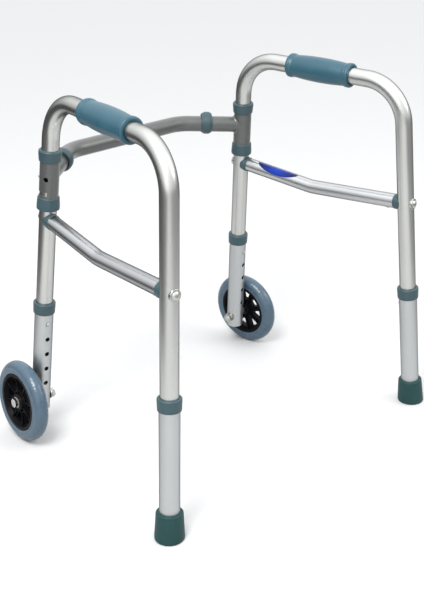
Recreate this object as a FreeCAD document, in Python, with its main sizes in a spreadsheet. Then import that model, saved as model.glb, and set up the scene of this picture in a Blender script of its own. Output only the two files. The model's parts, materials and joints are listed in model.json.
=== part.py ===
import FreeCAD, Part
import math
import os

import Sketcher

# Folding walking frame with two front wheels, in millimetres.
# +X is the user's right, +Y is forward, +Z is up; the origin is on the floor
# under the middle of the frame.

# Driving dimensions, written to the spreadsheet under these names.
SIZES = {
    # where the front legs meet the floor, and how each side frame stands
    "foot_side": 220.6, "foot_ahead": 162.75, "toe_out": 7.7, "cant": 4.0,
    "front_rake": 5.95, "rear_rake": 2.75, "foot_spacing": 367.9,
    # side frame tube
    "tube_od": 25.4, "tube_wall": 1.6, "bend_radius": 64.0,
    "front_corner": 544.0, "rear_corner": 530.4,
    "front_tube_end": 172.5, "rear_tube_end": 154.5,
    # side brace
    "brace_od": 22.2, "brace_wall": 1.4, "brace_bend": 90.0, "brace_start": 18.0,
    "brace_front": 362.5, "brace_rear": 347.6, "brace_knee_back": 180.0, "brace_knee_up": 342.0,
    "saddle_od": 23.8, "saddle_spigot": 36.0, "screw_od": 6.0, "screw_head_od": 12.0,
    "screw_head_height": 3.4, "saddle_washer_od": 17.0, "saddle_washer_rise": 1.4,
    "plug_rivet_place": 30.0, "plug_rivet_head": 6.4,
    "label_start": 38.0, "label_length": 78.0, "label_depth": 8.2, "label_thick": 0.25,
    # hand grip
    "grip_start_left": 93.0, "grip_start_right": 88.0, "grip_length": 112.0, "flange_od": 37.0,
    "grip_neck_od": 33.8, "grip_belly_od": 38.4,
    # swivel sleeves on the front legs
    "sleeve_od": 28.6, "sleeve_bore": 26.2, "sleeve_bottom": 378.0, "sleeve_top": 467.5,
    "sleeve_collar_od": 33.6, "upper_collar": 17.0, "lower_collar": 19.5, "collar_lip": 4.0,
    "running_bore": 25.5, "stub_height": 426.0, "stub_length": 62.0, "weld_radius": 4.0,
    # cross bar
    "bar_od": 25.4, "bar_wall": 1.6, "bar_ahead": 177.95, "bar_splay": 36.5, "bar_rise": 3.55,
    "bar_bend": 57.7, "bar_gap": 0.6, "ring_od": 36.0, "ring_stub_end_od": 31.8,
    "ring_bar_end_od": 29.8, "ring_width": 16.7, "ring_middle": 61.2, "ring_lift": 1.7,
    "ring_recess_od": 27.4, "joiner_length": 40.0, "joiner_wall": 2.0, "rivet_od": 3.2,
    "rivet_spacing": 6.6,
    # fold lock and fold stop
    "fold_left": 90.0, "fold_right": 52.0, "button_azimuth": 40.5, "button_height": 426.1,
    "stop_azimuth": 38.5, "stop_height": 403.5, "stop_slot": 6.8, "stop_pin_od": 5.0,
    # telescopic lower legs
    "leg_od": 28.6, "leg_wall": 1.2, "hole_pitch": 25.4, "hole_count": 5, "hole_od": 7.2,
    "button_od": 6.8, "front_hole": 194.5, "rear_hole": 176.5, "front_leg_end": 43.6,
    "leg_collar_od": 33.6, "front_collar_top": 228.4, "rear_collar_top": 206.2,
    "leg_collar_height": 18.5,
    # rear ferrule
    "ferrule_top_od": 37.8, "ferrule_base_od": 41.6, "ferrule_height": 40.5, "ferrule_sole": 7.5,
    "washer_thick": 1.8, "sole_edge": 2.6,
    # front wheel
    "wheel_od": 128.4, "tyre_width": 23.8, "crown_radius": 12.2, "rim_od": 90.8,
    "rim_inside_od": 76.0, "web_thick": 9.0, "hub_od": 25.0, "hub_width": 20.5, "hub_bore": 12.1,
    "wheel_offset": 31.6, "axle_azimuth": 92.6, "spokes": 8, "axle_od": 8.0, "bush_flange_od": 17.0,
    "hex_width": 13.0, "bolt_head": 5.0, "nut_height": 6.5, "plate_thick": 1.6, "plate_od": 16.6,
}

V = FreeCAD.Vector
Z_AXIS = V(0, 0, 1)

doc = FreeCAD.newDocument("walking_frame")
sheet = doc.addObject("Spreadsheet::Sheet", "sizes")
for row, (alias, number) in enumerate(SIZES.items(), start=1):
    sheet.set("A%d" % row, alias)
    sheet.set("B%d" % row, str(number))
    sheet.setAlias("B%d" % row, alias)
doc.recompute()

PARTS = []


class Size:
    """A length with its present value and the sheet expression behind it."""

    def __init__(self, value, text):
        self.value = value
        self.text = text

    def combine(self, other, sign, value):
        return Size(value, "(%s %s %s)" % (self.text, sign, text_of(other)))

    def __add__(self, other):
        return self.combine(other, "+", self.value + value_of(other))

    def __sub__(self, other):
        return self.combine(other, "-", self.value - value_of(other))

    def __mul__(self, other):
        return self.combine(other, "*", self.value * value_of(other))

    def __truediv__(self, other):
        return self.combine(other, "/", self.value / value_of(other))

    def __neg__(self):
        return Size(-self.value, "(0 - %s)" % self.text)


def value_of(size):
    return size.value if isinstance(size, Size) else size


def text_of(size):
    return size.text if isinstance(size, Size) else repr(size)


def sized(alias):
    return Size(SIZES[alias], "sizes.%s" % alias)


def radius_of(alias):
    return sized(alias) / 2


def turned(direction, degrees, axis=Z_AXIS):
    return FreeCAD.Rotation(axis, degrees).multVec(direction)


def facing(point, direction):
    """A placement whose local Z runs along direction."""
    return FreeCAD.Placement(point, FreeCAD.Rotation(Z_AXIS, direction))


# ---------------------------------------------------------------- modelling helpers

def new_body(label, place):
    body = doc.addObject("PartDesign::Body", label)
    body.Label = label
    body.Placement = place
    return body


def finish(part):
    PARTS.append(part)
    return part


def new_sketch(body, where=None, role="XY_Plane"):
    sketch = body.newObject("Sketcher::SketchObject", body.Name + "_sketch")
    plane = [item for item in body.Origin.OriginFeatures if item.Role == role][0]
    sketch.AttachmentSupport = [(plane, "")]
    sketch.MapMode = "FlatFace"
    if where is not None:
        sketch.AttachmentOffset = where
    return sketch


def bind(owner, name, size):
    if isinstance(size, Size):
        owner.setExpression(name, size.text)
    else:
        setattr(owner, name, size)


def hold(sketch, kind, places, size):
    """Adds one measured constraint and binds it to the sheet."""
    index = sketch.addConstraint(Sketcher.Constraint(kind, *places, value_of(size)))
    if isinstance(size, Size):
        sketch.setExpression("Constraints[%d]" % index, size.text)


def add_circle(sketch, radius, centre=(0.0, 0.0)):
    middle = V(value_of(centre[0]), value_of(centre[1]), 0)
    shape = sketch.addGeometry(Part.Circle(middle, Z_AXIS, value_of(radius)), False)
    hold(sketch, "Radius", (shape,), radius)
    pin_point(sketch, shape, 3, centre)


def pin_point(sketch, shape, vertex, point):
    """Ties a vertex to its distances from the sketch origin."""
    for kind, axis, length in (("DistanceX", -2, point[0]), ("DistanceY", -1, point[1])):
        if abs(value_of(length)) < 1e-9 and not isinstance(length, Size):
            sketch.addConstraint(Sketcher.Constraint("PointOnObject", shape, vertex, axis))
        else:
            hold(sketch, kind, (-1, 1, shape, vertex), length)


def arc_between(start, end, radius, side):
    """The short arc from start to end; side is 1 when it bulges to the right of the way."""
    chord = end - start
    rise = math.sqrt(max(radius * radius - chord.Length ** 2 / 4, 0))
    middle = (start + end) * 0.5
    normal = V(-chord.y, chord.x, 0).normalize()
    centre = middle + normal * (rise * side)
    crown = centre - normal * (radius * side)
    return Part.Arc(start, crown, end)


def add_outline(sketch, steps, closed=True):
    """Draws corners joined by lines, or by an arc where a corner gives (radius, side)."""
    points = [V(value_of(step[0]), value_of(step[1]), 0) for step in steps]
    count = len(steps) if closed else len(steps) - 1
    shapes = []
    for number in range(count):
        start, end = points[number], points[(number + 1) % len(points)]
        arc = steps[number][2] if len(steps[number]) > 2 else None
        if arc is None:
            shapes.append((sketch.addGeometry(Part.LineSegment(start, end), False), 1, 2, None))
            continue
        curve = arc_between(start, end, value_of(arc[0]), arc[1])
        index = sketch.addGeometry(curve, False)
        forward = (sketch.getPoint(index, 1) - start).Length < 1e-6
        first, last = (1, 2) if forward else (2, 1)
        shapes.append((index, first, last, arc[0]))
    for number, (index, first, last, radius) in enumerate(shapes):
        pin_point(sketch, index, first, steps[number])
        if number + 1 < len(shapes) or closed:
            following = shapes[(number + 1) % len(shapes)]
            sketch.addConstraint(Sketcher.Constraint("Coincident", index, last, following[0], following[1]))
        else:
            pin_point(sketch, index, last, steps[-1])
        if radius is not None:
            hold(sketch, "Radius", (index,), radius)


def pad(body, sketch, length, both_ways=False):
    feature = body.newObject("PartDesign::Pad", body.Name + "_pad")
    feature.Profile = sketch
    bind(feature, "Length", length)
    feature.Midplane = both_ways
    doc.recompute()
    return feature


def pocket(body, sketch, length, both_ways=False, onward=False):
    """Cuts against the sketch's normal, or along it when onward is set."""
    before = body.Shape.Volume
    feature = body.newObject("PartDesign::Pocket", body.Name + "_pocket")
    feature.Profile = sketch
    bind(feature, "Length", length)
    feature.Midplane = both_ways
    feature.Reversed = onward
    doc.recompute()
    if body.Shape.Volume > before - 1e-3:
        raise RuntimeError("a pocket in %s removes nothing" % body.Label)
    return feature


def revolve(body, steps, cut_angle=None, where=None):
    """Turns an outline of (radius, height) corners about the body's Z axis."""
    sketch = new_sketch(body, where, "XZ_Plane")
    add_outline(sketch, steps)
    kind = "PartDesign::Revolution" if cut_angle is None else "PartDesign::Groove"
    feature = body.newObject(kind, body.Name + "_turned")
    feature.Profile = sketch
    feature.ReferenceAxis = (sketch, ["V_Axis"])
    bind(feature, "Angle", 360.0 if cut_angle is None else cut_angle)
    doc.recompute()
    return feature


def dome_radius(half_width, height):
    """Radius of the ball whose cap has this half width and height."""
    half, rise = value_of(half_width), value_of(height)
    return (half * half + rise * rise) / (2 * rise)


def ring(radius_in, radius_out, low, high):
    return [(radius_in, low), (radius_out, low), (radius_out, high), (radius_in, high)]


def tube(body, outer, wall, low, length):
    sketch = new_sketch(body, FreeCAD.Placement(V(0, 0, value_of(low)), FreeCAD.Rotation()))
    if isinstance(low, Size):
        sketch.setExpression("AttachmentOffset.Base.z", low.text)
    add_circle(sketch, outer / 2)
    add_circle(sketch, outer / 2 - wall)
    return pad(body, sketch, length)


def drill(body, where, radius, depth, both_ways=False):
    """A round hole from a point, down against the local Z of its placement."""
    sketch = new_sketch(body, where)
    add_circle(sketch, radius)
    return pocket(body, sketch, depth, both_ways)


def bent_path(corners, radius):
    """Corner points turned into the steps of a line with rounded bends."""
    steps = [(corners[0].x, corners[0].y)]
    for before, corner, after in zip(corners, corners[1:], corners[2:]):
        inward = (before - corner).normalize()
        onward = (after - corner).normalize()
        half_angle = inward.getAngle(onward) / 2
        reach = value_of(radius) / math.tan(half_angle)
        start = corner + inward * reach
        end = corner + onward * reach
        side = 1 if inward.cross(onward).z < 0 else -1
        steps.append((start.x, start.y, (radius, side)))
        steps.append((end.x, end.y))
    steps.append((corners[-1].x, corners[-1].y))
    return steps


def bent_tube(body, corners, radius, outer, wall):
    path = new_sketch(body)
    add_outline(path, bent_path(corners, radius), closed=False)
    profile = new_sketch(body, facing(corners[0], corners[1] - corners[0]))
    add_circle(profile, outer / 2)
    add_circle(profile, outer / 2 - wall)
    feature = body.newObject("PartDesign::AdditivePipe", body.Name + "_pipe")
    feature.Profile = profile
    feature.Spine = (path, [])
    doc.recompute()
    return feature


def round_edges(body, radius, wanted):
    """Rounds the edges that the test picks."""
    base = body.Tip
    names = ["Edge%d" % number for number, edge in enumerate(base.Shape.Edges, start=1) if wanted(edge)]
    feature = body.newObject("PartDesign::Fillet", body.Name + "_round")
    feature.Base = (base, names)
    bind(feature, "Radius", radius)
    doc.recompute()
    return feature


def round_rims(body, radius, wanted):
    """Rounds the circular edges that the test picks by their radius and centre."""
    return round_edges(body, radius, lambda edge: hasattr(edge.Curve, "Radius")
                       and wanted(edge.Curve.Radius, edge.Curve.Center))


def hexagon(width):
    """Corners of a hexagon with the given width across its flats."""
    corner = width / math.sqrt(3)
    return [(corner * math.cos(math.radians(60 * turn)), corner * math.sin(math.radians(60 * turn)))
            for turn in range(6)]


def hex_block(body, width, low, height):
    sketch = new_sketch(body, FreeCAD.Placement(V(0, 0, value_of(low)), FreeCAD.Rotation()))
    add_outline(sketch, hexagon(width))
    return pad(body, sketch, height)


def group(label, bodies):
    """Several like pieces kept in one node."""
    together = doc.addObject("Part::Compound", label)
    together.Label = label
    together.Links = bodies
    doc.recompute()
    return finish(together)


# ---------------------------------------------------------------- where things stand

RIGHT, LEFT = 1, -1
SIDES = {"right": RIGHT, "left": LEFT}


def forward_of(sign):
    return turned(V(0, 1, 0), sign * SIZES["toe_out"])


def outward_of(sign):
    level = turned(V(sign, 0, 0), sign * SIZES["toe_out"])
    cant = math.radians(SIZES["cant"])
    return level * math.cos(cant) + Z_AXIS * math.sin(cant)


def up_of(sign):
    return outward_of(sign).cross(forward_of(sign)) * sign


def side_place(sign):
    """Side frame plane: X forward, Y up, origin where the front leg meets the floor."""
    foot = V(sign * SIZES["foot_side"], SIZES["foot_ahead"], 0)
    forward, up = forward_of(sign), up_of(sign)
    return FreeCAD.Placement(foot, FreeCAD.Rotation(forward, up, forward.cross(up), "ZXY"))


def front_leg_way():
    rake = math.radians(SIZES["front_rake"])
    return V(-math.sin(rake), math.cos(rake), 0)


def rear_leg_way():
    rake = math.radians(SIZES["rear_rake"])
    return V(math.sin(rake), math.cos(rake), 0)


def on_front_leg(height):
    return front_leg_way() * height


def on_rear_leg(height):
    return V(-SIZES["foot_spacing"], 0, 0) + rear_leg_way() * height


def leg_place(sign, foot, way):
    """Leg frame: Z up the leg, X forward in the side frame's plane."""
    across = V(way.y, -way.x, 0)
    local = FreeCAD.Placement(foot, FreeCAD.Rotation(across, way.cross(across), way, "ZXY"))
    return side_place(sign) * local


def front_place(sign):
    return leg_place(sign, V(0, 0, 0), front_leg_way())


def rear_place(sign):
    return leg_place(sign, on_rear_leg(0), rear_leg_way())


def around(sign, azimuth):
    """Turn about a leg's own Z for an azimuth counted from ahead towards the outside."""
    return -sign * azimuth


def radial(sign, azimuth, height, reach=0.0):
    """A placement on a leg, at a height and azimuth, with its Z pointing away from the leg."""
    away = turned(V(1, 0, 0), around(sign, azimuth))
    return facing(V(0, 0, height) + away * reach, away)


REAR_FACE, FRONT_FACE = 180.0, 0.0


# ---------------------------------------------------------------- front: sleeves and cross bar

def stub_way(sign):
    splay, rise = math.radians(SIZES["bar_splay"]), math.radians(SIZES["bar_rise"])
    level = V(-sign * math.cos(splay), math.sin(splay), 0)
    return level * math.cos(rise) + Z_AXIS * math.sin(rise)


def stub_root(sign):
    """The point on the front leg's axis that the stub points away from."""
    place = front_place(sign)
    start, way = place.Base, place.Rotation.multVec(Z_AXIS)
    return start + way * (SIZES["stub_height"] / way.z)


def in_body(place, point):
    return place.inverse().multVec(point)


def along_stub(sign):
    """Placement at the stub's root with Z along the stub."""
    return facing(stub_root(sign), stub_way(sign))


def over_stub(sign):
    """The direction square to a stub and upwards, in the stub's own placement."""
    way = stub_way(sign)
    upwards = (Z_AXIS - way * way.z).normalize()
    return along_stub(sign).inverse().Rotation.multVec(upwards)


def rivet_places():
    """Distances along the stub of the two rivets of each joint, both under its ring."""
    half, middle = SIZES["rivet_spacing"] / 2, SIZES["stub_length"] + SIZES["bar_gap"] / 2
    return middle - half, middle + half


def under_stub(sign, distance, reach=0.0):
    """On the underside of a stub, in its own placement, with local Z downwards."""
    down = over_stub(sign) * -1
    return facing(V(0, 0, distance) + down * reach, down)


def cut_arc_slot(body, low, high, middle_angle, span):
    """A slot round part of a sleeve's wall, centred on an angle about its Z."""
    turn = FreeCAD.Placement(V(0, 0, 0), FreeCAD.Rotation(V(0, 1, 0), middle_angle))
    feature = revolve(body, ring(radius_of("sleeve_bore") - 0.5, radius_of("sleeve_od") + 0.5, low, high),
                      cut_angle=span, where=turn)
    feature.Midplane = True
    doc.recompute()


def fold_range(side):
    return SIZES["fold_" + side]


def on_two_tubes(edge):
    """Whether an edge is the long curve in which one tube runs into another."""
    return not hasattr(edge.Curve, "Radius") and edge.Length > SIZES["bar_od"] \
        and edge.Curve.TypeId != "Part::GeomLine"


def t_sleeve(side, sign):
    body = new_body(side + "_t_sleeve", front_place(sign))
    low, high = sized("sleeve_bottom") + SIZES["collar_lip"], sized("sleeve_top") - SIZES["collar_lip"]
    foot = FreeCAD.Placement(V(0, 0, value_of(low)), FreeCAD.Rotation())
    sketch = new_sketch(body, foot)
    add_circle(sketch, radius_of("sleeve_od"))
    pad(body, sketch, high - low)
    place = body.Placement
    stub = facing(in_body(place, stub_root(sign)), place.inverse().Rotation.multVec(stub_way(sign)))
    sketch = new_sketch(body, stub)
    add_circle(sketch, radius_of("bar_od"))
    pad(body, sketch, sized("stub_length"))
    round_edges(body, sized("weld_radius"), on_two_tubes)
    sketch = new_sketch(body, stub)
    add_circle(sketch, radius_of("bar_od") - sized("bar_wall"))
    pocket(body, sketch, sized("stub_length") + 1, onward=True)
    drill(body, FreeCAD.Placement(V(0, 0, value_of(high) + 1), FreeCAD.Rotation()),
          radius_of("sleeve_bore"), high - low + 2)
    drill_rivets(body, sign, rivet_places()[:1])
    for azimuth in (SIZES["button_azimuth"], SIZES["button_azimuth"] + fold_range(side)):
        hole = radial(sign, azimuth, SIZES["button_height"], SIZES["sleeve_od"] / 2 + 1)
        drill(body, hole, radius_of("hole_od"), 4.0)
    half_slot = math.degrees((SIZES["stop_pin_od"] / 2 + 0.4) / (SIZES["sleeve_od"] / 2))
    span = fold_range(side) + 2 * half_slot
    middle = around(sign, SIZES["stop_azimuth"] + fold_range(side) / 2)
    cut_arc_slot(body, sized("stop_height") - sized("stop_slot") / 2,
                 sized("stop_height") + sized("stop_slot") / 2, middle, span)
    return finish(body)


def sleeve_collar(label, sign, end, height, upward):
    """A flanged bush: a collar outside the sleeve's end with a thin bearing inside it."""
    flip = 1 if upward else -1
    body = new_body(label, front_place(sign))
    lip = end - sized("collar_lip") * flip
    skirt = end - height * flip
    bearing = radius_of("sleeve_bore") - 0.03
    rim = radius_of("sleeve_collar_od")
    bore = radius_of("running_bore")
    revolve(body, [
        (bore, end), (rim - 2, end, (2.2, -flip)), (rim, end - flip * 2), (rim, end - flip * 6),
        (rim - 0.8, skirt + flip * 2, (2.0, -flip)), (rim - 2.2, skirt),
        (radius_of("sleeve_od") + 0.03, skirt), (radius_of("sleeve_od") + 0.03, lip),
        (bearing, lip), (bearing, skirt), (bore, skirt),
    ])
    return finish(body)


def bar_plane():
    """The plane of the cross bar and both stubs, risen a little ahead: X across, Y ahead."""
    way, across = stub_way(RIGHT), V(1, 0, 0)
    ahead = V(0, way.y, way.z).normalize()
    start = stub_root(RIGHT)
    return FreeCAD.Placement(V(0, start.y, start.z),
                             FreeCAD.Rotation(across, ahead, across.cross(ahead), "ZXY"))


def bar_corners():
    """The cross bar's centre line in its plane: from one stub, forward, across and back."""
    root, way = stub_root(RIGHT), stub_way(RIGHT)
    start = in_body(bar_plane(), root + way * (SIZES["stub_length"] + SIZES["bar_gap"]))
    knee = in_body(bar_plane(), root + way * ((SIZES["bar_ahead"] - root.y) / way.y))
    return [V(start.x, start.y, 0), V(knee.x, knee.y, 0), V(-knee.x, knee.y, 0), V(-start.x, start.y, 0)]


def cross_bar():
    body = new_body("cross_bar", bar_plane())
    bent_tube(body, bar_corners(), sized("bar_bend"), sized("bar_od"), sized("bar_wall"))
    for sign in SIDES.values():
        drill_rivets(body, sign, rivet_places()[1:])
    return finish(body)


def bar_collar(side, sign):
    """The ridged ring over the joint: thicker on top, and hollowed over the stub and rivets."""
    lift = over_stub(sign) * SIZES["ring_lift"]
    body = new_body(side + "_bar_collar", along_stub(sign) * FreeCAD.Placement(lift, FreeCAD.Rotation()))
    low = sized("ring_middle") - sized("ring_width") / 2
    high = sized("ring_middle") + sized("ring_width") / 2
    ridge = radius_of("ring_od")
    revolve(body, [
        (0.0, low), (radius_of("ring_stub_end_od"), low), (ridge, low + 4.5), (ridge, high - 5.5),
        (radius_of("ring_bar_end_od"), high), (0.0, high),
    ])
    depth = sized("ring_width") - 1.2
    bar_end = FreeCAD.Placement(lift * -1 + Z_AXIS * (value_of(high) + 1), FreeCAD.Rotation())
    drill(body, bar_end, radius_of("bar_od") + 0.02, sized("ring_width") + 2)
    stub_end = facing(lift * -1 + Z_AXIS * value_of(low), Z_AXIS * -1)
    drill(body, stub_end, radius_of("ring_recess_od"), depth)
    round_rims(body, 0.8, lambda radius, centre: radius > SIZES["ring_bar_end_od"] / 2)
    return finish(body)


def bar_joiner(side, sign):
    """The inner tube that ties the stub to the bar."""
    body = new_body(side + "_bar_joiner", along_stub(sign))
    outer = sized("bar_od") - sized("bar_wall") * 2 - 0.1
    low = sized("stub_length") - sized("joiner_length") / 2
    tube(body, outer, sized("joiner_wall"), low, sized("joiner_length"))
    drill_rivets(body, sign, rivet_places())
    return finish(body)


def drill_rivets(body, sign, places):
    """Rivet holes in a stub, bar or joiner, wherever the body stands."""
    to_body = body.Placement.inverse() * along_stub(sign)
    for distance in places:
        hole = to_body * under_stub(sign, distance, SIZES["bar_od"] / 2 + 1)
        drill(body, hole, radius_of("rivet_od") + 0.02, 5.0)


def bar_rivet(side, sign, number, distance):
    body = new_body("%s_rivet_%d" % (side, number), along_stub(sign) * under_stub(sign, distance))
    shank, surface = radius_of("rivet_od"), radius_of("bar_od")
    inner = surface - sized("bar_wall") - sized("joiner_wall") - 0.2
    revolve(body, [
        (0.0, inner), (shank, inner), (shank, surface + 0.05), (shank + 0.8, surface + 0.05),
        (shank + 0.8, surface + 0.3, (dome_radius(shank + 0.8, 0.5), 1)), (0.0, surface + 0.8),
    ])
    return body


def bar_rivets():
    rivets = []
    for side, sign in SIDES.items():
        for number, distance in enumerate(rivet_places(), start=1):
            rivets.append(bar_rivet(side, sign, number, distance))
    return group("bar_rivets", rivets)


# ---------------------------------------------------------------- side frames

def side_tube(side, sign):
    body = new_body(side + "_side_tube", side_place(sign))
    corners = [on_front_leg(SIZES["front_tube_end"]), on_front_leg(SIZES["front_corner"]),
               on_rear_leg(SIZES["rear_corner"]), on_rear_leg(SIZES["rear_tube_end"])]
    bent_tube(body, corners, sized("bend_radius"), sized("tube_od"), sized("tube_wall"))
    to_front = body.Placement.inverse() * front_place(sign)
    to_rear = body.Placement.inverse() * rear_place(sign)
    surface = SIZES["tube_od"] / 2
    button = radius_of("hole_od")
    drill(body, to_front * radial(sign, REAR_FACE, SIZES["front_hole"], surface + 1), button, 4.0)
    drill(body, to_rear * radial(sign, FRONT_FACE, SIZES["rear_hole"], surface + 1), button, 4.0)
    for azimuth in (SIZES["button_azimuth"], SIZES["button_azimuth"] + SIZES["fold_left"]):
        drill(body, to_front * radial(sign, azimuth, SIZES["button_height"], surface + 1), button, 4.0)
    drill(body, to_front * radial(sign, SIZES["stop_azimuth"], SIZES["stop_height"], surface + 1),
          radius_of("stop_pin_od") + 0.02, 4.0)
    for end in (brace_front(), brace_rear()):
        drill(body, end, radius_of("screw_od") + 0.1, sized("tube_od") * 1.3, both_ways=True)
    return finish(body)


def grip(side, sign):
    """A moulded hand grip on the top of the side frame: two flanges and a swollen middle."""
    front = on_front_leg(SIZES["front_corner"])
    along = on_rear_leg(SIZES["rear_corner"]) - front
    body = new_body(side + "_grip", side_place(sign) * facing(front, along.normalize()))
    low = sized("grip_start_" + side)
    high = low + sized("grip_length")
    bore, flange = radius_of("tube_od") + 0.02, radius_of("flange_od")
    neck = radius_of("grip_neck_od")
    swell = value_of(radius_of("grip_belly_od") - neck)
    half = SIZES["grip_length"] / 2 - 10.5
    belly = (half * half + swell * swell) / (2 * swell)
    revolve(body, [
        (bore, low), (flange - 3, low, (3.2, 1)), (flange, low + 3), (flange, low + 7, (3.6, 1)),
        (neck, low + 10.5, (belly, 1)), (neck, high - 10.5, (3.6, 1)), (flange, high - 7),
        (flange, high - 3, (3.2, 1)), (flange - 3, high), (bore, high),
    ])
    return finish(body)


# ---------------------------------------------------------------- side braces

def brace_corners():
    knee = V(-SIZES["brace_knee_back"], SIZES["brace_knee_up"], 0)
    return on_front_leg(SIZES["brace_front"]), knee, on_rear_leg(SIZES["brace_rear"])


def brace_front():
    """Placement in the side frame's plane at the front joint, Z along the brace."""
    front, knee, rear = brace_corners()
    return facing(front, knee - front)


def brace_rear():
    front, knee, rear = brace_corners()
    return facing(rear, knee - rear)


def under_brace(where, reach):
    """Placement under the plug rivet's end of a brace, in the joint's own placement, Z downwards."""
    way = where.Rotation.multVec(Z_AXIS)
    down = where.inverse().Rotation.multVec((way * way.y - V(0, 1, 0)).normalize())
    return facing(V(0, 0, SIZES["plug_rivet_place"]) + down * reach, down)


def hollow_for_leg(body, leg_way):
    """Cuts the leg's round out of a piece that sits on it."""
    sketch = new_sketch(body, facing(V(0, 0, 0), leg_way))
    add_circle(sketch, radius_of("tube_od") + 0.03)
    pocket(body, sketch, 60.0, both_ways=True)


def brace(side, sign):
    body = new_body(side + "_brace", side_place(sign))
    inset = V(0, 0, SIZES["brace_start"])
    front, knee, rear = brace_corners()
    corners = [brace_front().multVec(inset), knee, brace_rear().multVec(inset)]
    bent_tube(body, corners, sized("brace_bend"), sized("brace_od"), sized("brace_wall"))
    drill(body, brace_rear() * under_brace(brace_rear(), SIZES["brace_od"] / 2 + 1),
          radius_of("rivet_od") + 0.02, 5.0)
    return finish(body)


def brace_saddle(label, sign, where, leg_way):
    """The moulded end of a brace: hollowed to sit on the leg, with a spigot inside the brace."""
    place = side_place(sign) * where
    body = new_body(label, place)
    seat = radius_of("brace_od") - sized("brace_wall") - 0.02
    outer, shoulder = radius_of("saddle_od"), sized("brace_start") - 0.1
    bore = radius_of("screw_od") + 0.02
    revolve(body, [
        (bore, 6.0), (outer, 6.0), (outer, shoulder - 1.2, (1.3, 1)), (outer - 1.2, shoulder),
        (seat, shoulder), (seat, sized("saddle_spigot")), (bore, sized("saddle_spigot")),
    ])
    across = where.inverse().Rotation.multVec(leg_way)
    hollow_for_leg(body, across)
    if where == brace_rear():
        drill(body, under_brace(where, SIZES["brace_od"] / 2 + 1), radius_of("rivet_od") + 0.02, 8.0)
    return finish(body)


def brace_screw(label, place):
    """A domed screw through the leg into the saddle's spigot; its head is behind the leg."""
    body = new_body(label, place)
    head, shank = radius_of("screw_head_od"), radius_of("screw_od")
    face = -(radius_of("tube_od") + sized("saddle_washer_rise") + 0.02)
    top = face - sized("screw_head_height")
    dome = dome_radius(head, sized("screw_head_height") - 0.8)
    revolve(body, [
        (0.0, top, (dome, 1)), (head, face - 0.8), (head, face), (shank, face),
        (shank, sized("saddle_spigot") - 4), (0.0, sized("saddle_spigot") - 4),
    ])
    return body


def plug_rivet(label, sign):
    """The blind rivet under the brace's rear end, into the saddle's spigot."""
    body = new_body(label, side_place(sign) * brace_rear() * under_brace(brace_rear(), 0.0))
    shank, head, surface = radius_of("rivet_od"), radius_of("plug_rivet_head"), radius_of("brace_od")
    revolve(body, [
        (0.0, surface - 6.8), (shank, surface - 6.8), (shank, surface + 0.05), (head, surface + 0.05),
        (head, surface + 0.4, (dome_radius(head, 1.1), 1)), (0.0, surface + 1.5),
    ])
    return body


def brace_screws(side, sign):
    places = {"front": brace_front(), "rear": brace_rear()}
    screws = [brace_screw("%s_%s_brace_screw" % (side, end), side_place(sign) * where)
              for end, where in places.items()]
    return group(side + "_brace_screws", screws + [plug_rivet(side + "_plug_rivet", sign)])


def saddle_washer(label, sign, where, leg_way):
    """A washer between leg and screw head: hollowed underneath, flat on top."""
    body = new_body(label, side_place(sign) * where)
    top = radius_of("tube_od") + sized("saddle_washer_rise")
    sketch = new_sketch(body, facing(V(0, 0, -5), Z_AXIS * -1))
    add_circle(sketch, radius_of("saddle_washer_od"))
    add_circle(sketch, radius_of("screw_od") + 0.1)
    pad(body, sketch, top - 5.0)
    round_rims(body, 0.6, lambda radius, centre: radius > SIZES["screw_od"] and centre.z < -6)
    hollow_for_leg(body, where.inverse().Rotation.multVec(leg_way))
    return body


def brace_washers(side, sign):
    return group(side + "_brace_washers", [
        saddle_washer(side + "_front_saddle_washer", sign, brace_front(), front_leg_way()),
        saddle_washer(side + "_rear_saddle_washer", sign, brace_rear(), rear_leg_way()),
    ])


# ---------------------------------------------------------------- fold stop and spring buttons

def fold_stop_pin(side, sign):
    """A headed pin in the leg's wall that runs in the sleeve's slot."""
    where = radial(sign, SIZES["stop_azimuth"], SIZES["stop_height"])
    body = new_body(side + "_fold_stop_pin", front_place(sign) * where)
    inside = radius_of("tube_od") - sized("tube_wall")
    revolve(body, [
        (0.0, inside - 1.9), (radius_of("stop_pin_od") + 1.2, inside - 1.9),
        (radius_of("stop_pin_od") + 1.2, inside - 0.9), (radius_of("stop_pin_od"), inside - 0.9),
        (radius_of("stop_pin_od"), radius_of("sleeve_od") - 0.3), (0.0, radius_of("sleeve_od") - 0.3),
    ])
    return finish(body)


def spring_button(label, place, proud):
    """A sprung strip folded inside the leg, with the button that it pushes out through the hole.

    Local X points out through the hole and local Z up the leg, with the hole at the origin.
    """
    body = new_body(label, place)
    reach, strip, bend_high = 10.4, 0.8, 32.0
    sketch = new_sketch(body, role="XZ_Plane")
    add_outline(sketch, [
        (reach, -7.0), (reach, 7.0), (3.4, bend_high, (3.6, 1)), (-3.4, bend_high),
        (-reach, 7.0), (-reach, -7.0), (strip - reach, -7.0), (strip - reach, 7.0),
        (strip - 3.4, bend_high, (2.8, -1)), (3.4 - strip, bend_high),
        (reach - strip, 7.0), (reach - strip, -7.0),
    ])
    pad(body, sketch, 7.0, both_ways=True)
    sketch = new_sketch(body, facing(V(reach - strip, 0, 0), V(1, 0, 0)))
    add_circle(sketch, radius_of("button_od"))
    pad(body, sketch, proud - (reach - strip))
    round_rims(body, 1.0, lambda radius, centre: centre.x > reach + 1)
    return finish(body)


def button_place(leg, sign, azimuth, height):
    """Hole placement on a leg: local X outwards, local Z up the leg."""
    turn = FreeCAD.Rotation(Z_AXIS, around(sign, azimuth))
    return leg * FreeCAD.Placement(V(0, 0, height), turn)


# ---------------------------------------------------------------- telescopic lower legs

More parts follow.
